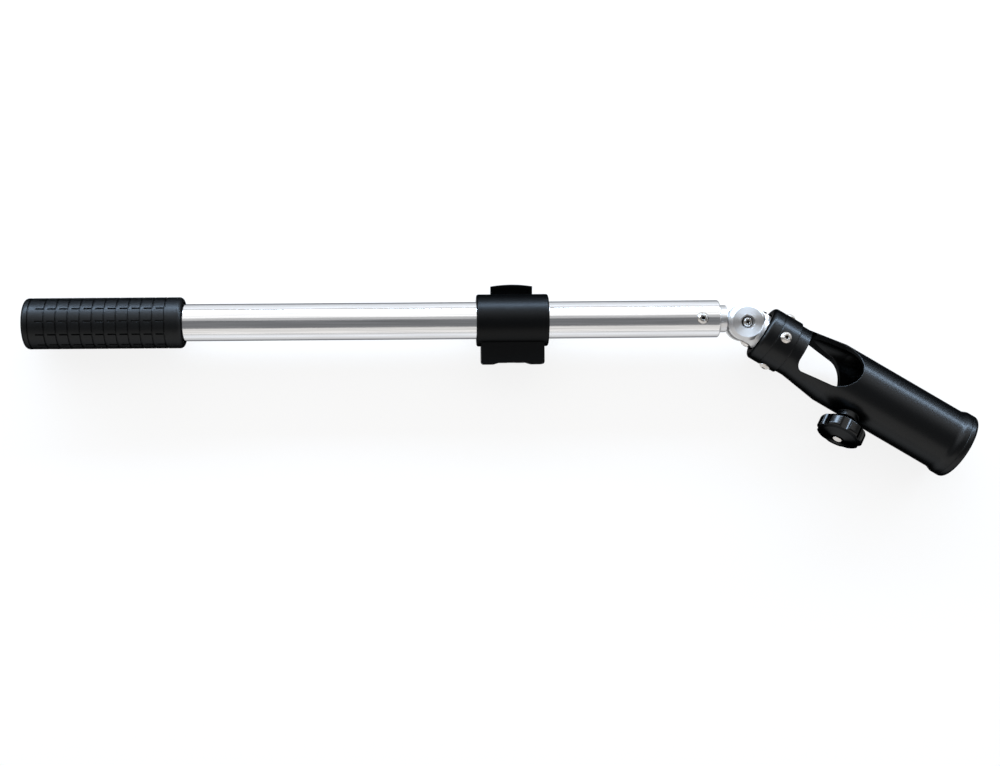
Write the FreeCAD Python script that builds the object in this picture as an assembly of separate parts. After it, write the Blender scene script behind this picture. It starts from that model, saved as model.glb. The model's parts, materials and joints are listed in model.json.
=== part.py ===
import FreeCAD, Part
import math
import os

os.makedirs("parts", exist_ok=True)

Vector = FreeCAD.Vector
ORIGIN = Vector(0, 0, 0)
X = Vector(1, 0, 0)
Y = Vector(0, 1, 0)
Z = Vector(0, 0, 1)

# Tiller extension, lying on its side: the handle tube runs along X, the hinge bolt stands along Z.
# Sizes are millimetres. The origin is the centre of the socket's mouth.

# Pose at rest
bend = 30.7
socket_roll = 20.0

# Handle tube
tube_radius = 12.7
tube_wall = 2.0
tube_edge = 1.2
tube_end = 18.2
tube_length = 470.3

# Rubber grip
grip_radius = 17.5
grip_length = 108.5
grip_cap = 3.5
grip_gap = 0.08
grip_round = 3.0
grip_lip = 5.0
groove_depth = 1.1
groove_width = 1.1
ring_first = 16.0
ring_pitch = 8.13
ring_count = 11
dash_length = 5.9
row_count = 12
row_turn = -2.5
grip_recess = 1.6

# Hinge tongue, a turned plug with a flat end; the tube's axis passes beside the hinge bolt
hinge_offset = 2.7
tongue_gap = 0.04
plug_length = 42.0
stub_radius = 9.25
stub_chamfer = 0.6
tongue_thick = 7.0
tongue_half_width = 5.0

# Fork
fork_radius = 12.5
ear_radius = 12.6
ear_chamfer = 2.2
fork_half = 12.0
fork_length = 15.4
slot_depth = 5.4
washer_thick = 0.8
washer_radius = 4.8
side_gap = 0.1
bolt_radius = 2.0
bolt_gap = 0.05
counterbore_radius = 4.8
counterbore_depth = 2.5
nut_pocket_radius = 5.0
nut_pocket_depth = 4.5
nut_across = 7.0
nut_height = 3.2
bolt_past_nut = 0.6

# Cross bolt that pins the swivel shaft in the fork
cross_at = 8.0
cross_radius = 2.0
cross_head_radius = 4.0
cross_head_height = 2.0
cross_flat = 0.1
cross_end = 0.8
head_rim = 0.35
head_flat = 0.62

# Swivel shaft and bush
shaft_radius = 5.0
shaft_gap = 0.05
shaft_start = 6.0
shaft_head_radius = 9.0
shaft_head = 3.0
shaft_round = 0.6
bush_start = 15.9
bush_length = 18.9
bush_radius = 14.0
bush_gap = 0.05
bush_flange = 1.0
end_play = 0.25

# Tiller socket, along its own axis from the hinge bolt
mouth_neck = 12.7
neck_radius = 19.2
neck_round = 2.7
neck_line = 21.4
line_size = 0.35
neck_step = 34.4
neck_step_round = 0.5
small_neck_radius = 17.9
cone_start = 41.0
cone_end = 67.6
socket_radius = 22.0
socket_wall = 2.75
bead_start = 158.4
bead_slope = 3.4
bead_blend = 4.0
bead_line = 165.2
bead_radius = 23.5
bead_round = 2.6
socket_end = 170.0
bore_start = 75.0
window_start = 42.2
window_end = 82.7
window_half = 15.8
window_corner = 5.5
shaft_room = 11.0
bush_stop = 36.0

# Button-head screws
screw_radius = 2.0
button_radius = 3.8
button_height = 2.2
button_hex = 2.5
hex_depth = 1.5
neck_screw_at = 26.3
neck_screw_length = 8.0
neck_screw_count = 4
neck_screw_turn = 12.0
tube_screw_at = 30.7
tube_screw_length = 7.0
seat_margin = 0.1
overrun = 1.0

# Clamp knob, along its own axis from the socket's axis
knob_at = 91.6
knob_radius = 16.0
knob_back = 27.6
knob_hub = 8.8
knob_rim_back = 30.6
knob_face = 38.2
knob_apex = 40.8
knob_round = 1.4
knob_face_round = 0.6
knob_face_share = 0.75
knob_insert_radius = 4.9
lobe_count = 7
lobe_cut_radius = 5.0
lobe_cut_at = 19.2
clamp_screw_radius = 3.0
clamp_screw_end = 41.3
clamp_screw_round = 0.5
thread_gap = 0.05
boss_radius = 7.5
boss_top = 24.8
pad_radius = 5.0
pad_gap = 0.3
pad_thick = 2.0
pad_inset = 0.15
tip_radius = 1.5
tip_length = 1.2

# Collar
collar_at = 159.2
collar_width = 49.0
collar_radius = 17.85
collar_gap = 0.05
collar_round = 1.4
ear_width = 43.0
ear_drop = 30.25
ear_front = 9.0
ear_rear = 8.0
ear_corner = 2.0
split = 2.0
scallop_half = 8.9
scallop_depth = 1.2
scallop_slope = 4.0
clamp_bolt_radius = 2.5
clamp_bolt_gap = 0.2
clamp_bolt_up = 5.75
clamp_bolt_reach = 7.5
eye_radius = 4.2
eye_width = 6.0
pin_radius = 2.2
cam_radius = 4.6
cam_lift = 0.4
cam_gap = 0.05
cam_width = 17.4
lever_inner = 18.35
lever_thick = 2.45
arm_gap = 0.7
arm_heel = 45.0
lever_width = 28.8
lever_low = 150.0
lever_high = 28.0
tab_top = 24.8
tab_thick = 3.2
tab_front = 5.6
tab_crown = 1.2
tab_rim = 2.2
tab_scoop = 0.9

# Worked out from the sizes above
tube_inner = tube_radius - tube_wall
bore_radius = socket_radius - socket_wall
slot_half = tongue_thick / 2 + washer_thick + 2 * side_gap
disc_radius = ear_radius - ear_chamfer
lever_outer = lever_inner + lever_thick
clamp_bolt_drop = ear_drop - clamp_bolt_up
pin_back = ear_rear + cam_gap + cam_radius + cam_lift


def outline(points):
    """A closed face in the XY plane; each point is (x, y) or (x, y, corner radius)."""
    edges = []
    starts = []
    ends = []
    middles = []
    count = len(points)
    for i in range(count):
        here = Vector(points[i][0], points[i][1], 0)
        before = Vector(points[i - 1][0], points[i - 1][1], 0)
        after = Vector(points[(i + 1) % count][0], points[(i + 1) % count][1], 0)
        radius = points[i][2] if len(points[i]) > 2 else 0
        to_before = (before - here).normalize()
        to_after = (after - here).normalize()
        half = to_before.getAngle(to_after) / 2
        if radius <= 0:
            starts.append(here)
            ends.append(here)
            middles.append(None)
            continue
        reach = radius / math.tan(half)
        starts.append(here + to_before * reach)
        ends.append(here + to_after * reach)
        inward = (to_before + to_after).normalize()
        middles.append(here + inward * (radius / math.sin(half) - radius))
    for i in range(count):
        if middles[i] is not None:
            edges.append(Part.Arc(starts[i], middles[i], ends[i]).toShape())
        following = starts[(i + 1) % count]
        if (following - ends[i]).Length > 1e-6:
            edges.append(Part.LineSegment(ends[i], following).toShape())
    return Part.Face(Part.Wire(edges))


def turned(points):
    """A solid turned about X; each point is (along, radius) or (along, radius, corner radius)."""
    return outline(points).revolve(ORIGIN, X, 360)


def turned_along(points, direction, start=ORIGIN):
    """The same solid, standing on start and turned about another direction."""
    shape = turned(points)
    shape.Placement = FreeCAD.Placement(start, FreeCAD.Rotation(X, direction))
    return shape


def rod(radius, length, start, direction):
    return Part.makeCylinder(radius, length, start, direction)


def block(low, high):
    size = high - low
    return Part.makeBox(size.x, size.y, size.z, low)


def hexagon(across, height, start, direction):
    corner = across / math.sqrt(3)
    points = []
    for i in range(6):
        angle = math.radians(60 * i)
        points.append(Vector(0, corner * math.cos(angle), corner * math.sin(angle)))
    face = Part.Face(Part.makePolygon(points + [points[0]]))
    shape = face.extrude(X * height)
    shape.Placement = FreeCAD.Placement(start, FreeCAD.Rotation(X, direction))
    return shape


def button_screw(seat, direction, length, shank_radius):
    """A button-head screw whose head stands on seat and whose shank runs the other way."""
    head = turned_along([
        (-length, 0), (-length, shank_radius), (0, shank_radius), (0, button_radius),
        (head_rim * button_height, button_radius), (button_height, head_flat * button_radius),
        (button_height, 0),
    ], direction, seat)
    socket = hexagon(button_hex, hex_depth, seat + direction * (button_height - hex_depth), direction)
    return head.cut(socket)


def flat_on(radius, width):
    """Distance from a round bar's axis to a flat that is just wide enough for width."""
    return math.sqrt(radius ** 2 - width ** 2)


def fused(shapes):
    body = shapes[0]
    for shape in shapes[1:]:
        body = body.fuse(shape)
    return body.removeSplitter()


# Grip and tube

tube_left = -tube_end - tube_length
grip_left = tube_left - grip_cap
tube_seat = flat_on(tube_radius, button_radius + seat_margin)


def make_grip():
    bore = tube_radius + grip_gap
    right = grip_left + grip_length
    points = [(grip_left, 0), (grip_left, grip_radius, grip_round)]
    points += groove(grip_left + grip_lip)
    for i in range(ring_count):
        points += groove(grip_left + ring_first + i * ring_pitch)
    points += [
        (right, grip_radius, grip_round),
        (right, bore + grip_recess),
        (right - grip_recess, bore + grip_recess),
        (right - grip_recess, bore),
        (tube_left - grip_gap, bore),
        (tube_left - grip_gap, 0),
    ]
    body = turned(points)
    dashes = []
    for i in range(ring_count):
        end = grip_left + ring_first + i * ring_pitch
        low = Vector(end - dash_length, -groove_width / 2, grip_radius - groove_depth)
        high = Vector(end, groove_width / 2, grip_radius + groove_depth)
        for row in range(row_count):
            dash = block(low, high)
            dash.rotate(ORIGIN, X, row_turn + row * 360 / row_count)
            dashes.append(dash)
    return body.cut(Part.makeCompound(dashes))


def groove(at):
    floor = grip_radius - groove_depth
    half = groove_width / 2
    return [(at - half, grip_radius), (at - half, floor), (at + half, floor), (at + half, grip_radius)]


def make_tube():
    body = turned([
        (tube_left, tube_inner), (tube_left, tube_radius),
        (-tube_end, tube_radius, tube_edge), (-tube_end, tube_inner),
    ])
    at = Vector(-tube_screw_at, 0, tube_seat)
    body = body.cut(rod(button_radius + seat_margin, tube_radius, at, Z))
    return body.cut(rod(screw_radius + tongue_gap, tube_radius, Vector(-tube_screw_at, 0, 0), Z))


def make_tongue():
    shoulder = -ear_radius - 3 * side_gap
    plug_radius = tube_inner - tongue_gap
    plug = turned([
        (-tube_end - plug_length, 0), (-tube_end - plug_length, plug_radius), (-tube_end, plug_radius),
        (-tube_end, stub_radius), (shoulder - stub_chamfer, stub_radius),
        (shoulder, stub_radius - stub_chamfer), (shoulder, 0),
    ])
    half = tongue_thick / 2
    centre = Vector(0, -hinge_offset, -half)
    low = Vector(shoulder - stub_chamfer, -hinge_offset - tongue_half_width, -half)
    flat = block(low, Vector(0, -hinge_offset + tongue_half_width, half))
    eye = rod(tongue_half_width, tongue_thick, centre, Z)
    body = fused([plug, flat, eye])
    body = body.cut(rod(bolt_radius + bolt_gap, tongue_thick, centre, Z))
    return body.cut(rod(screw_radius + tongue_gap, tube_radius, Vector(-tube_screw_at, 0, 0), Z))


def make_tube_screw():
    return button_screw(Vector(-tube_screw_at, 0, tube_seat), Z, tube_screw_length, screw_radius)


# Hinge

head_seat = fork_half - counterbore_depth
nut_seat = fork_half - nut_pocket_depth
cross_seat = flat_on(fork_radius, cross_head_radius + cross_flat)


def make_fork():
    boss = turned_along([
        (-fork_half, 0), (-fork_half, disc_radius), (-fork_half + ear_chamfer, ear_radius),
        (fork_half - ear_chamfer, ear_radius), (fork_half, disc_radius), (fork_half, 0),
    ], Z)
    shank = rod(fork_radius, fork_length, ORIGIN, X)
    body = fused([boss, shank])
    reach = ear_radius + overrun
    for side in (1, -1):
        body = body.cut(rod(disc_radius, reach, Vector(0, 0, side * fork_half), Z * side))
    body = body.cut(block(Vector(-reach, -reach, -slot_half), Vector(slot_depth, reach, slot_half)))
    body = body.cut(rod(bolt_radius + bolt_gap, 2 * reach, Vector(0, 0, -reach), Z))
    body = body.cut(rod(counterbore_radius, reach, Vector(0, 0, head_seat), Z))
    body = body.cut(rod(nut_pocket_radius, reach, Vector(0, 0, -nut_seat), -Z))
    body = body.cut(rod(shaft_radius + tongue_gap, fork_length, Vector(slot_depth - overrun, 0, 0), X))
    body = body.cut(rod(cross_radius + tongue_gap, 2 * reach, Vector(cross_at, -reach, 0), Y))
    seat = Vector(cross_at, -cross_seat, 0)
    return body.cut(rod(cross_head_radius + cross_flat, reach, seat, -Y))


def make_hinge_bolt():
    length = head_seat + nut_seat + nut_height + bolt_past_nut
    return button_screw(Vector(0, 0, head_seat), Z, length, bolt_radius)


def make_hinge_nut():
    start = Vector(0, 0, -nut_seat)
    body = hexagon(nut_across, nut_height, start, -Z)
    return body.cut(rod(bolt_radius + tongue_gap, nut_height, start, -Z))


def make_hinge_washer(side):
    start = Vector(0, 0, side * (tongue_thick / 2 + side_gap))
    body = rod(washer_radius, washer_thick, start, Z * side)
    return body.cut(rod(bolt_radius + bolt_gap, washer_thick, start, Z * side))


def make_cross_bolt():
    end = fork_radius + cross_end
    body = turned_along([
        (-end, 0), (-end, cross_radius), (cross_seat, cross_radius), (cross_seat, cross_head_radius),
        (cross_seat + head_rim * cross_head_height, cross_head_radius),
        (cross_seat + cross_head_height, head_flat * cross_head_radius),
        (cross_seat + cross_head_height, 0),
    ], -Y, Vector(cross_at, 0, 0))
    top = Vector(cross_at, -cross_seat - cross_head_height, 0)
    return body.cut(hexagon(button_hex, hex_depth, top, Y))


# Swivel

bush_end = bush_start + bush_length
head_start = bush_end + end_play


def make_swivel_shaft():
    body = turned([
        (shaft_start, 0), (shaft_start, shaft_radius), (head_start, shaft_radius),
        (head_start, shaft_head_radius), (head_start + shaft_head, shaft_head_radius, shaft_round),
        (head_start + shaft_head, 0),
    ])
    return body.cut(rod(cross_radius + tongue_gap, 2 * shaft_radius, Vector(cross_at, -shaft_radius, 0), Y))


def make_swivel_bush():
    inner = shaft_radius + shaft_gap
    body = turned([
        (bush_start, inner), (bush_start, bush_radius, bush_flange),
        (bush_end, bush_radius), (bush_end, inner),
    ])
    depth = neck_seat - neck_screw_length
    for turn in neck_turns():
        body = body.cut(neck_hole(screw_radius + tongue_gap, depth, bush_radius, turn))
    return body


# Tiller socket

neck_seat = flat_on(neck_radius, button_radius + seat_margin)


def neck_turns():
    return [neck_screw_turn + i * 360 / neck_screw_count for i in range(neck_screw_count)]


def neck_hole(radius, low, high, turn):
    """A drill for one neck screw, from low to high above the socket's axis."""
    drill = rod(radius, high - low, Vector(neck_screw_at, 0, low), Z)
    drill.rotate(ORIGIN, X, turn)
    return drill


def make_neck_screw(turn):
    screw = button_screw(Vector(neck_screw_at, 0, neck_seat), Z, neck_screw_length, screw_radius)
    screw.rotate(ORIGIN, X, turn)
    return screw


def make_window():
    """The slot through the front and rear walls: squarish towards the neck, round towards the mouth."""
    middle = window_end - window_half
    reach = socket_radius + overrun
    face = outline([
        (window_start, -window_half, window_corner), (middle, -window_half),
        (middle, window_half), (window_start, window_half, window_corner),
    ])
    square = face.extrude(Z * 2 * reach)
    square.translate(Z * -reach)
    return square.fuse(rod(window_half, 2 * reach, Vector(middle, 0, -reach), Z))


def make_socket():
    inside_neck = bush_radius + bush_gap
    outside = [
        (mouth_neck, inside_neck), (mouth_neck, neck_radius, neck_round),
        (neck_line - line_size, neck_radius), (neck_line, neck_radius - line_size),
        (neck_line + line_size, neck_radius),
        (neck_step, neck_radius, neck_step_round), (neck_step, small_neck_radius),
        (cone_start, small_neck_radius), (cone_end, socket_radius),
        (bead_start, socket_radius, bead_blend), (bead_start + bead_slope, bead_radius, bead_blend),
        (bead_line - line_size, bead_radius), (bead_line, bead_radius - line_size),
        (bead_line + line_size, bead_radius), (socket_end, bead_radius, bead_round),
    ]
    inside = [
        (socket_end, bore_radius), (bore_start, bore_radius),
        (cone_start + socket_wall, small_neck_radius - socket_wall),
        (cone_start, shaft_room), (bush_stop, shaft_room), (bush_stop, inside_neck),
    ]
    body = turned(outside + inside)
    boss = rod(boss_radius, boss_top - bore_radius, Vector(knob_at, -bore_radius, 0), -Y)
    boss = boss.cut(rod(bore_radius, socket_end, ORIGIN, X))
    body = fused([body, boss])
    body = body.cut(make_window())
    body = body.cut(rod(clamp_screw_radius + thread_gap, boss_top, Vector(knob_at, 0, 0), -Y))
    body = body.cut(rod(pad_radius + pad_gap, pad_floor, Vector(knob_at, 0, 0), -Y))
    for turn in neck_turns():
        body = body.cut(neck_hole(button_radius + seat_margin, neck_seat, socket_radius, turn))
        body = body.cut(neck_hole(screw_radius + tongue_gap, 0, neck_radius, turn))
    return body


# Clamp knob

pad_inner = bore_radius + pad_inset
pad_outer = pad_inner + pad_thick
pad_floor = pad_outer + pad_gap
knob_line = Vector(knob_at, 0, 0)


def make_clamp_pad():
    body = rod(pad_radius, pad_thick, knob_line - Y * pad_inner, -Y)
    hole = rod(tip_radius + thread_gap, tip_length + pad_gap, knob_line - Y * pad_outer, Y)
    return body.cut(hole)


def make_clamp_screw():
    shoulder = pad_outer + thread_gap
    return turned_along([
        (pad_outer - tip_length, 0), (pad_outer - tip_length, tip_radius), (shoulder, tip_radius),
        (shoulder, clamp_screw_radius), (clamp_screw_end, clamp_screw_radius, clamp_screw_round),
        (clamp_screw_end, 0),
    ], -Y, knob_line)


def make_clamp_knob():
    bore = clamp_screw_radius + thread_gap
    body = turned_along([
        (knob_back, bore), (knob_back, knob_hub), (knob_rim_back, knob_radius, knob_round),
        (knob_face, knob_radius, knob_round),
        (knob_face + knob_face_round, knob_face_share * knob_radius),
        (knob_apex, knob_insert_radius), (knob_apex, bore),
    ], -Y, knob_line)
    for i in range(lobe_count):
        angle = math.radians(i * 360 / lobe_count)
        across = Vector(math.cos(angle), 0, math.sin(angle)) * lobe_cut_at
        body = body.cut(rod(lobe_cut_radius, knob_apex, knob_line + across, -Y))
    return body


# Collar, with the clamp bolt across its ears and the cam lever behind it

collar_centre = -collar_at


def make_collar():
    half = collar_width / 2
    bore = tube_radius + collar_gap
    ring = turned([
        (-half, bore), (-half, collar_radius, collar_round), (half, collar_radius, collar_round), (half, bore),
    ])
    side = ear_width / 2
    ears = outline([
        (-side, -tube_radius), (-side, -ear_drop, ear_corner),
        (-scallop_half - scallop_slope, -ear_drop), (-scallop_half, -ear_drop + scallop_depth),
        (scallop_half, -ear_drop + scallop_depth), (scallop_half + scallop_slope, -ear_drop),
        (side, -ear_drop, ear_corner), (side, -tube_radius),
    ]).extrude(Z * (ear_front + ear_rear))
    ears.translate(Z * -ear_rear)
    ears = ears.cut(rod(bore, collar_width, X * -half, X))
    body = fused([ring, ears])
    gap = block(Vector(-half, -ear_drop, -split / 2), Vector(half, 0, split / 2))
    body = body.cut(gap)
    rear = Vector(0, -clamp_bolt_drop, -ear_rear)
    thread = rear + Z * ear_rear
    body = body.cut(rod(clamp_bolt_radius + clamp_bolt_gap, ear_rear, rear, Z))
    body = body.cut(rod(clamp_bolt_radius + thread_gap, clamp_bolt_reach + thread_gap, thread, Z))
    body.translate(X * collar_centre)
    return body


def lever_pin_at():
    return Vector(collar_centre, -clamp_bolt_drop, -pin_back)


def make_clamp_bolt():
    centre = lever_pin_at()
    shank = rod(clamp_bolt_radius, pin_back + clamp_bolt_reach, centre, Z)
    eye = rod(eye_radius, eye_width, centre - X * eye_width / 2, X)
    body = fused([shank, eye])
    return body.cut(rod(pin_radius + shaft_gap, eye_width, centre - X * eye_width / 2, X))


def make_lever_pin():
    return rod(pin_radius, cam_width, lever_pin_at() - X * cam_width / 2, X)


def around(radius, angle):
    """A point of the collar's section: the angle runs from the top, round the back, to the bottom."""
    turn = math.radians(angle)
    return Vector(0, radius * math.cos(turn), -radius * math.sin(turn))


def make_lever():
    pin = Vector(0, -clamp_bolt_drop, -pin_back)
    shoulder = pin + Y * (clamp_bolt_radius + arm_gap) + Z * cam_radius / 2
    heel = pin + around(cam_radius - cam_lift, arm_heel)
    tab_tip = Vector(0, tab_top, -tab_front)
    tab_back = tab_tip - Z * tab_thick
    edges = [
        bow_arc(lever_inner).toShape(),
        Part.LineSegment(around(lever_inner, lever_high), tab_tip).toShape(),
        Part.LineSegment(tab_tip, tab_back).toShape(),
        Part.LineSegment(tab_back, around(lever_outer, lever_high)).toShape(),
        bow_arc(lever_outer).toShape(),
        Part.LineSegment(around(lever_outer, lever_low), heel).toShape(),
        Part.LineSegment(heel, pin).toShape(),
        Part.LineSegment(pin, shoulder).toShape(),
        Part.LineSegment(shoulder, around(lever_inner, lever_low)).toShape(),
    ]
    section = Part.Face(Part.Wire(Part.__sortEdges__(edges)))
    bow = section.extrude(X * lever_width)
    bow.translate(X * -lever_width / 2)
    bow = bow.common(crowned_plate(0)).cut(thumb_scoop(tab_tip))
    cam = rod(cam_radius, cam_width, pin + Z * cam_lift - X * cam_width / 2, X)
    body = fused([bow, cam])
    slot = eye_width / 2 + side_gap
    body = body.cut(rod(cam_radius + cam_lift + side_gap, 2 * slot, pin - X * slot, X))
    body = body.cut(rod(pin_radius, cam_width, pin - X * cam_width / 2, X))
    body.translate(X * collar_centre)
    return body


def bow_arc(radius):
    middle = (lever_low + lever_high) / 2
    return Part.Arc(around(radius, lever_low), around(radius, middle), around(radius, lever_high))


def crowned_plate(rim, low=-ear_drop):
    """A plate under the tab's convex upper edge, lowest at its two corners, drawn in by a rim."""
    half = lever_width / 2 - rim
    top = tab_top - rim
    corner = Vector(half, top - tab_crown, 0)
    other_corner = Vector(-half, top - tab_crown, 0)
    edges = [
        Part.Arc(other_corner, Vector(0, top, 0), corner).toShape(),
        Part.LineSegment(corner, Vector(half, low, 0)).toShape(),
        Part.LineSegment(Vector(half, low, 0), Vector(-half, low, 0)).toShape(),
        Part.LineSegment(Vector(-half, low, 0), other_corner).toShape(),
    ]
    return Part.Face(Part.Wire(edges)).extrude(Z * -2 * lever_outer)


def thumb_scoop(tab_tip):
    """The shallow hollow in the tab's face, inside a rim along its sides and top."""
    foot = around(lever_inner, lever_high)
    slope = (tab_tip - foot).normalize()
    inward = slope.cross(X) * tab_scoop
    if inward.z > 0:
        inward = inward * -1
    start = foot + slope * tab_rim
    sheet = Part.Face(Part.makePolygon([
        start - inward, tab_tip - inward, tab_tip + inward, start + inward, start - inward,
    ])).extrude(X * lever_width)
    sheet.translate(X * -lever_width / 2)
    return sheet.common(crowned_plate(tab_rim))


# Placing and writing

mouth = Vector(math.cos(math.radians(bend)), -math.sin(math.radians(bend)), 0) * socket_end
beside_bolt = Y * hinge_offset


def write(name, shape, group):
    placed = shape.copy()
    if group == "tube":
        placed.translate(beside_bolt)
    if group == "socket":
        placed.rotate(ORIGIN, X, -socket_roll)
    if group in ("socket", "fork"):
        placed.rotate(ORIGIN, Z, -bend)
    placed.translate(mouth * -1)
    if len(placed.Solids) == 1:
        placed = placed.Solids[0]
    print(name, placed.ShapeType, placed.isValid(), round(placed.Volume, 1))
    placed.exportStep("parts/" + name + ".step")


write("grip", make_grip(), "tube")
write("handle_tube", make_tube(), "tube")
write("hinge_tongue", make_tongue(), "tube")
write("tube_screw", make_tube_screw(), "tube")

write("collar_body", make_collar(), "tube")
write("clamp_bolt", make_clamp_bolt(), "tube")
write("lever_pin", make_lever_pin(), "tube")
write("cam_lever", make_lever(), "tube")

write("swivel_fork", make_fork(), "fork")
write("hinge_bolt", make_hinge_bolt(), "fork")
write("hinge_nut", make_hinge_nut(), "fork")
write("hinge_washer_front", make_hinge_washer(1), "fork")
write("hinge_washer_rear", make_hinge_washer(-1), "fork")
write("cross_bolt", make_cross_bolt(), "fork")
write("swivel_shaft", make_swivel_shaft(), "fork")

write("tiller_socket", make_socket(), "socket")
write("swivel_bush", make_swivel_bush(), "socket")
for number, turn in enumerate(neck_turns(), 1):
    write("neck_screw_" + str(number), make_neck_screw(turn), "socket")
write("clamp_pad", make_clamp_pad(), "socket")
write("clamp_screw", make_clamp_screw(), "socket")
write("clamp_knob", make_clamp_knob(), "socket")
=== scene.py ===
import json
import math

import bpy
from mathutils import Matrix, Vector


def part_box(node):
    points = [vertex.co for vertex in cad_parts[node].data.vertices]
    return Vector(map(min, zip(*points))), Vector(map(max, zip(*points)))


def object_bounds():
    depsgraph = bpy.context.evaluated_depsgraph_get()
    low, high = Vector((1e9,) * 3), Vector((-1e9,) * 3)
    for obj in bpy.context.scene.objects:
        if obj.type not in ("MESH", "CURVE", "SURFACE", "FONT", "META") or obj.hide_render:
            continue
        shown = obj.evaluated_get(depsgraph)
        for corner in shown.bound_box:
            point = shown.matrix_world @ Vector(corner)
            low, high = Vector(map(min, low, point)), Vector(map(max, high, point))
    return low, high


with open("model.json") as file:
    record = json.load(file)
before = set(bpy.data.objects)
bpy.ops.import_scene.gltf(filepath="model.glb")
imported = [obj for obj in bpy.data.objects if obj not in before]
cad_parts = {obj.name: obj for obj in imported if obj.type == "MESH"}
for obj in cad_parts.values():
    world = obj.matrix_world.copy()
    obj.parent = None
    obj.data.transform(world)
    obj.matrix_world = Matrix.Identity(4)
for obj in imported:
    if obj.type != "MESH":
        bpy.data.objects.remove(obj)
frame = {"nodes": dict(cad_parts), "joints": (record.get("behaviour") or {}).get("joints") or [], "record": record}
cad_low, cad_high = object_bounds()

joints = {joint["name"]: joint for joint in frame["joints"]}
hinge = Vector(joints["fork_hinge"]["pos_m"])
hinge_axis = Vector(joints["fork_hinge"]["axis"]).normalized()
socket_axis = Vector(joints["socket_swivel"]["axis"]).normalized()
tube_low, tube_high = (Vector(corner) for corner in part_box("handle_tube"))
tube_centre = (tube_low + tube_high) / 2
tube_axis = (1, 0, 0)


# Shader helpers

# Most values of a noise texture lie between the first two
NOISE_LOW = 0.3
NOISE_HIGH = 0.7
NOISE_ROUGHNESS = 0.55
BEVEL_SAMPLES = 6


def new_material(name, metallic=0.0, specular=0.5):
    material = bpy.data.materials.new(name)
    material.use_nodes = True
    shader = material.node_tree.nodes["Principled BSDF"]
    shader.inputs["Metallic"].default_value = metallic
    shader.inputs["Specular IOR Level"].default_value = specular
    return material, material.node_tree.nodes, material.node_tree.links, shader


def feed(links, value, socket):
    """Links an output socket to the given socket, or sets a plain value on it."""
    if isinstance(value, bpy.types.NodeSocket):
        links.new(value, socket)
    else:
        socket.default_value = value


def math_node(nodes, links, operation, first, second, clamp=False):
    """Each of first and second is an output socket or a plain number."""
    node = nodes.new("ShaderNodeMath")
    node.operation = operation
    node.use_clamp = clamp
    feed(links, first, node.inputs[0])
    feed(links, second, node.inputs[1])
    return node.outputs["Value"]


def vector_math(nodes, links, operation, first, second=None):
    """Each of first and second is an output socket or a plain vector."""
    node = nodes.new("ShaderNodeVectorMath")
    node.operation = operation
    feed(links, first, node.inputs[0])
    if second is not None:
        feed(links, second, node.inputs[1])
    return node.outputs["Value" if operation in ("LENGTH", "DOT_PRODUCT") else "Vector"]


def mix(nodes, links, kind, factor, first, second):
    """Goes from first to second as the factor goes from 0 to 1; kind is VECTOR or RGBA."""
    node = nodes.new("ShaderNodeMix")
    node.data_type = kind
    links.new(factor, node.inputs["Factor"])
    ends = [socket for socket in node.inputs if socket.type == kind and socket.name in ("A", "B")]
    feed(links, first, ends[0])
    feed(links, second, ends[1])
    return next(socket for socket in node.outputs if socket.type == kind)


def object_coords(nodes, links, scale=(1, 1, 1)):
    coords = nodes.new("ShaderNodeTexCoord")
    mapping = nodes.new("ShaderNodeMapping")
    mapping.inputs["Scale"].default_value = scale
    links.new(coords.outputs["Object"], mapping.inputs["Vector"])
    return mapping.outputs["Vector"]


def noise(nodes, links, vector, scale, detail):
    """Noise texture; the scale is its number of cells to a metre."""
    texture = nodes.new("ShaderNodeTexNoise")
    texture.inputs["Scale"].default_value = scale
    texture.inputs["Detail"].default_value = detail
    texture.inputs["Roughness"].default_value = NOISE_ROUGHNESS
    links.new(vector, texture.inputs["Vector"])
    return texture.outputs["Fac"]


def two_tone(nodes, links, value, dark, light):
    """Colours a noise value from dark to light over its usual range."""
    ramp = nodes.new("ShaderNodeValToRGB")
    low, high = ramp.color_ramp.elements
    low.position = NOISE_LOW
    high.position = NOISE_HIGH
    low.color = (*dark, 1)
    high.color = (*light, 1)
    links.new(value, ramp.inputs["Fac"])
    return ramp.outputs["Color"]


def spread(nodes, links, value, low, high):
    """Maps a noise value from its usual range to low and high."""
    ranged = nodes.new("ShaderNodeMapRange")
    ranged.inputs["From Min"].default_value = NOISE_LOW
    ranged.inputs["From Max"].default_value = NOISE_HIGH
    ranged.inputs["To Min"].default_value = low
    ranged.inputs["To Max"].default_value = high
    links.new(value, ranged.inputs["Value"])
    return ranged.outputs["Result"]


def finish(nodes, links, shader, value, color, roughness, depth, strength, edge):
    """Colour from an output socket, roughness and bump from one noise value, and softened edges."""
    links.new(color, shader.inputs["Base Color"])
    links.new(spread(nodes, links, value, *roughness), shader.inputs["Roughness"])
    bevel = nodes.new("ShaderNodeBevel")
    bevel.samples = BEVEL_SAMPLES
    bevel.inputs["Radius"].default_value = edge
    bump = nodes.new("ShaderNodeBump")
    bump.inputs["Distance"].default_value = depth
    bump.inputs["Strength"].default_value = strength
    links.new(value, bump.inputs["Height"])
    links.new(bevel.outputs["Normal"], bump.inputs["Normal"])
    links.new(bump.outputs["Normal"], shader.inputs["Normal"])


# Materials

# Specular tints: the light that a metal keeps at its grazing rims
ALUMINIUM_RIM = (0.04, 0.042, 0.05)
BLACK_RIM = (0.16, 0.16, 0.16)
# The tube's lines have this scale along it, and 1 across it
LINE_STRETCH = 0.012
TURNED_ANISOTROPY = 0.95
# The fork's turned shank starts this far from the hinge, along the socket
SHANK_START = 0.0113
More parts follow.
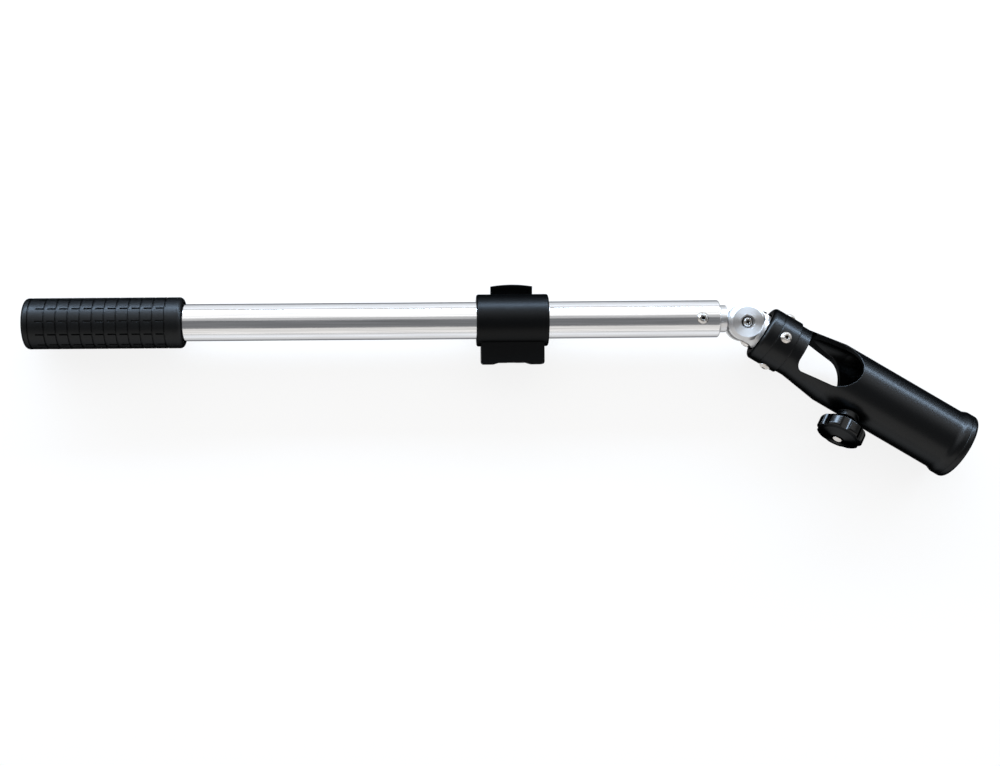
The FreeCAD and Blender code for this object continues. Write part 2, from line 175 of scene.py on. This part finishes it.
# Painted shade: a screw's colour darkens as the open share of the space within this distance falls from the
# brightest to the darkest
HOLE_DISTANCE = 0.0025
HOLE_DARKEST = 0.45
HOLE_BRIGHTEST = 0.8
HOLE_SAMPLES = 8
# The colour of the painted shade in the screws' hex sockets and other hollows
PAINTED_HOLE_SHADE = (0.004, 0.004, 0.004)
# How far the grain of the black finishes and of the plastics goes from their stated colour and roughness
BLACK_DARKER = 0.85
BLACK_LIGHTER = 1.2
BLACK_SMOOTHER = 0.04
BLACK_ROUGHER = 0.05
PLASTIC_DARKER = 0.93


def tube_material():
    """Drawn aluminium tube, with fine lines along it."""
    material, nodes, links, shader = new_material("drawn_tube", metallic=1.0)
    shader.inputs["Specular Tint"].default_value = (*ALUMINIUM_RIM, 1)
    stretched = object_coords(nodes, links, scale=(LINE_STRETCH, 1, 1))
    lines = noise(nodes, links, stretched, scale=1400, detail=3)
    color = two_tone(nodes, links, lines, dark=(0.7, 0.705, 0.72), light=(0.88, 0.885, 0.9))
    finish(nodes, links, shader, lines, color,
           roughness=(0.09, 0.15), depth=0.00002, strength=0.35, edge=0.0004)
    return material


def turned_material(name, centre, axis, shank_axis=None, shank_start=0):
    """Turned aluminium: fine rings about the axis, and past shank_start about the shank's own axis."""
    material, nodes, links, shader = new_material(name, metallic=1.0)
    shader.inputs["Specular Tint"].default_value = (*ALUMINIUM_RIM, 1)
    shader.inputs["Anisotropic"].default_value = TURNED_ANISOTROPY
    arm = vector_math(nodes, links, "SUBTRACT", object_coords(nodes, links), tuple(centre))
    around = vector_math(nodes, links, "CROSS_PRODUCT", tuple(axis), arm)
    if shank_axis is not None:
        along_shank = vector_math(nodes, links, "DOT_PRODUCT", arm, tuple(shank_axis))
        on_shank = math_node(nodes, links, "GREATER_THAN", along_shank, shank_start)
        around_shank = vector_math(nodes, links, "CROSS_PRODUCT", tuple(shank_axis), arm)
        around = mix(nodes, links, "VECTOR", on_shank, around, around_shank)
    geometry = nodes.new("ShaderNodeNewGeometry")
    across = vector_math(nodes, links, "CROSS_PRODUCT", geometry.outputs["Normal"], around)
    links.new(vector_math(nodes, links, "NORMALIZE", across), shader.inputs["Tangent"])
    radius = nodes.new("ShaderNodeCombineXYZ")
    links.new(vector_math(nodes, links, "LENGTH", around), radius.inputs["X"])
    rings = noise(nodes, links, radius.outputs["Vector"], scale=2600, detail=3)
    color = two_tone(nodes, links, rings, dark=(0.72, 0.725, 0.735), light=(0.88, 0.885, 0.89))
    finish(nodes, links, shader, rings, color,
           roughness=(0.38, 0.48), depth=0.00002, strength=0.2, edge=0.0003)
    return material


def steel_material():
    """Polished stainless fasteners, a little warm, with painted shade down in their hex sockets."""
    material, nodes, links, shader = new_material("screw_steel", metallic=1.0)
    value = noise(nodes, links, object_coords(nodes, links), scale=700, detail=4)
    bright = two_tone(nodes, links, value, dark=(0.5, 0.475, 0.445), light=(0.7, 0.675, 0.65))
    # Painted shade: ambient occlusion darkens the colour towards the painted shade colour in the hex sockets and
    # other hollows
    shade = nodes.new("ShaderNodeAmbientOcclusion")
    shade.samples = HOLE_SAMPLES
    shade.inputs["Distance"].default_value = HOLE_DISTANCE
    openness = nodes.new("ShaderNodeMapRange")
    openness.inputs["From Min"].default_value = HOLE_DARKEST
    openness.inputs["From Max"].default_value = HOLE_BRIGHTEST
    links.new(shade.outputs["AO"], openness.inputs["Value"])
    color = mix(nodes, links, "RGBA", openness.outputs["Result"], (*PAINTED_HOLE_SHADE, 1), bright)
    finish(nodes, links, shader, value, color,
           roughness=(0.16, 0.28), depth=0.00002, strength=0.2, edge=0.0003)
    return material


def black_material(name, roughness, color, grain, depth, edge):
    """Black finish, written as a dark metal with a low specular tint, so that its rims stay dark."""
    material, nodes, links, shader = new_material(name, metallic=1.0)
    shader.inputs["Specular Tint"].default_value = (*BLACK_RIM, 1)
    value = noise(nodes, links, object_coords(nodes, links), scale=grain, detail=5)
    dark = tuple(BLACK_DARKER * channel for channel in color)
    light = tuple(BLACK_LIGHTER * channel for channel in color)
    tone = two_tone(nodes, links, value, dark, light)
    around = (roughness - BLACK_SMOOTHER, roughness + BLACK_ROUGHER)
    finish(nodes, links, shader, value, tone,
           roughness=around, depth=depth, strength=0.3, edge=edge)
    return material


def plastic_material(name, color):
    """Plain pale plastic of the washers, the bush and the pad."""
    material, nodes, links, shader = new_material(name, specular=0.4)
    value = noise(nodes, links, object_coords(nodes, links), scale=1500, detail=4)
    dark = tuple(PLASTIC_DARKER * channel for channel in color)
    tone = two_tone(nodes, links, value, dark, color)
    finish(nodes, links, shader, value, tone,
           roughness=(0.42, 0.55), depth=0.00002, strength=0.3, edge=0.0002)
    return material


def dress(node, material):
    """Gives a node of the frame one material all over."""
    node.data.materials.clear()
    node.data.materials.append(material)


look_of_slot = {
    "tube_metal": tube_material(),
    "joint_metal": turned_material("turned_fork", hinge, hinge_axis, socket_axis, SHANK_START),
    "screw_steel": steel_material(),
    "socket_black": black_material(
        "socket_black", color=(0.026, 0.027, 0.028),
        roughness=0.3, grain=2600, depth=0.00003, edge=0.0008),
    "collar_plastic": black_material(
        "collar_black", color=(0.0142, 0.0147, 0.0153),
        roughness=0.36, grain=2200, depth=0.00003, edge=0.0004),
    "grip_rubber": black_material(
        "grip_rubber", color=(0.0245, 0.0255, 0.0265),
        roughness=0.4, grain=1800, depth=0.00005, edge=0.0002),
    "knob_plastic": black_material(
        "knob_plastic", color=(0.027, 0.0275, 0.028),
        roughness=0.17, grain=1500, depth=0.00002, edge=0.0004),
    "washer_nylon": plastic_material("washer_nylon", color=(0.8, 0.8, 0.77)),
    "bush_plastic": plastic_material("bush_plastic", color=(0.66, 0.66, 0.63)),
}
for part in frame["record"]["subparts"]:
    dress(frame["nodes"][part["node"]], look_of_slot[part["material_slot"]])
dress(frame["nodes"]["hinge_tongue"], turned_material("turned_tongue", tube_centre, tube_axis))


# Floor and light

FLOOR_HALF = 6.0
FLOOR_ALBEDO = 0.18
FLOOR_GLOW = 0.83
LIGHT_CENTRE = Vector((-0.25, 0.06, 0))
SOFTBOX_DISTANCE = 1.1
SOFTBOX_LENGTH = 4.4
# How bright the room is at the horizon, and at each height of a ray's direction, where 1 is straight up
HORIZON_LEVEL = 0.93
WALL_LEVELS = ((0.1, 0.78), (0.22, 0.48), (0.4, 0.3))
CEILING_HEIGHT = 0.95
CEILING_COLOR = (0.2, 0.203, 0.21)


def floor_material():
    """White to the camera and in the metal, while its shaded part keeps the object's soft shadow."""
    material = bpy.data.materials.new("floor_white")
    material.use_nodes = True
    nodes = material.node_tree.nodes
    links = material.node_tree.links
    nodes.clear()
    matt = nodes.new("ShaderNodeBsdfDiffuse")
    matt.inputs["Color"].default_value = (FLOOR_ALBEDO, FLOOR_ALBEDO, FLOOR_ALBEDO, 1)
    path = nodes.new("ShaderNodeLightPath")
    seen = path.outputs["Is Camera Ray"]
    for ray in ("Is Glossy Ray", "Is Transmission Ray"):
        seen = math_node(nodes, links, "ADD", seen, path.outputs[ray], clamp=True)
    glow = nodes.new("ShaderNodeEmission")
    glow.inputs["Color"].default_value = (1, 1, 1, 1)
    links.new(math_node(nodes, links, "MULTIPLY", seen, FLOOR_GLOW), glow.inputs["Strength"])
    both = nodes.new("ShaderNodeAddShader")
    links.new(matt.outputs["BSDF"], both.inputs[0])
    links.new(glow.outputs["Emission"], both.inputs[1])
    output = nodes.new("ShaderNodeOutputMaterial")
    links.new(both.outputs["Shader"], output.inputs["Surface"])
    return material


def build_floor():
    mesh = bpy.data.meshes.new("floor")
    z = cad_low[2]
    corners = [
        (-FLOOR_HALF, -FLOOR_HALF, z), (FLOOR_HALF, -FLOOR_HALF, z),
        (FLOOR_HALF, FLOOR_HALF, z), (-FLOOR_HALF, FLOOR_HALF, z),
    ]
    mesh.from_pydata(corners, [], [(0, 1, 2, 3)])
    mesh.materials.append(floor_material())
    floor = bpy.data.objects.new("floor", mesh)
    bpy.context.scene.collection.objects.link(floor)


def build_world():
    """A pale room that darkens from the horizon up to its ceiling."""
    world = bpy.data.worlds.new("studio")
    bpy.context.scene.world = world
    world.use_nodes = True
    nodes = world.node_tree.nodes
    links = world.node_tree.links
    coords = nodes.new("ShaderNodeTexCoord")
    parts = nodes.new("ShaderNodeSeparateXYZ")
    links.new(coords.outputs["Generated"], parts.inputs["Vector"])
    ramp = nodes.new("ShaderNodeValToRGB")
    levels = ramp.color_ramp.elements
    levels[0].position = 0.0
    levels[0].color = (HORIZON_LEVEL, HORIZON_LEVEL, HORIZON_LEVEL, 1)
    levels[1].position = CEILING_HEIGHT
    levels[1].color = (*CEILING_COLOR, 1)
    for height, level in WALL_LEVELS:
        levels.new(height).color = (level, level, level, 1)
    links.new(parts.outputs["Z"], ramp.inputs["Fac"])
    links.new(ramp.outputs["Color"], nodes["Background"].inputs["Color"])


def softbox(name, low_angle, high_angle, radiance, color):
    """A long lamp beside the part, between two angles from straight up; positive angles lean to +Y."""
    middle = math.radians((low_angle + high_angle) / 2)
    half = math.radians(abs(high_angle - low_angle) / 2)
    data = bpy.data.lights.new(name, "AREA")
    data.shape = "RECTANGLE"
    data.size = SOFTBOX_LENGTH
    data.size_y = 2 * SOFTBOX_DISTANCE * math.tan(half)
    data.energy = radiance * math.pi * data.size * data.size_y
    data.color = color
    light = bpy.data.objects.new(name, data)
    light.visible_camera = False
    away = Vector((0, math.sin(middle), math.cos(middle)))
    light.location = LIGHT_CENTRE + away * SOFTBOX_DISTANCE
    light.rotation_euler = (-middle, 0, 0)
    bpy.context.scene.collection.objects.link(light)


build_floor()
build_world()
softbox("fill_softbox", low_angle=10, high_angle=26, radiance=0.4, color=(1.0, 0.99, 0.97))
softbox("upper_softbox", low_angle=26, high_angle=66, radiance=1.05, color=(1.0, 0.985, 0.965))
softbox("strip_light", low_angle=64, high_angle=74, radiance=27.0, color=(0.6, 0.78, 1.0))
softbox("lower_softbox", low_angle=-40, high_angle=-78, radiance=0.6, color=(1.0, 0.96, 0.91))


# Camera

IMAGE_WIDTH = 1000
IMAGE_HEIGHT = 766
FOCAL_PIXELS = 1480
SENSOR_MM = 36
DISTANCE = 1.014
# Where the hinge shows in the picture, and the point of the picture that is straight under the camera
HINGE_PIXEL = (744.4, 322.5)
FOOT_PIXEL = (430, 383)
ROLL = math.radians(-0.43)


def build_camera():
    """Straight down over the foot pixel; the frame is shifted off it, as the photograph's is."""
    data = bpy.data.cameras.new("camera")
    data.sensor_width = SENSOR_MM
    data.lens = SENSOR_MM * FOCAL_PIXELS / IMAGE_WIDTH
    data.shift_x = (IMAGE_WIDTH / 2 - FOOT_PIXEL[0]) / IMAGE_WIDTH
    data.shift_y = (FOOT_PIXEL[1] - IMAGE_HEIGHT / 2) / IMAGE_WIDTH
    camera = bpy.data.objects.new("camera", data)
    scale = DISTANCE / FOCAL_PIXELS
    offset = Vector((FOOT_PIXEL[0] - HINGE_PIXEL[0], HINGE_PIXEL[1] - FOOT_PIXEL[1], 0)) * scale
    offset.rotate(Matrix.Rotation(ROLL, 3, "Z"))
    camera.location = hinge + offset + Vector((0, 0, DISTANCE))
    camera.rotation_euler = (0, 0, ROLL)
    bpy.context.scene.collection.objects.link(camera)
    bpy.context.scene.camera = camera


build_camera()
bpy.context.scene.view_settings.view_transform = "Standard"
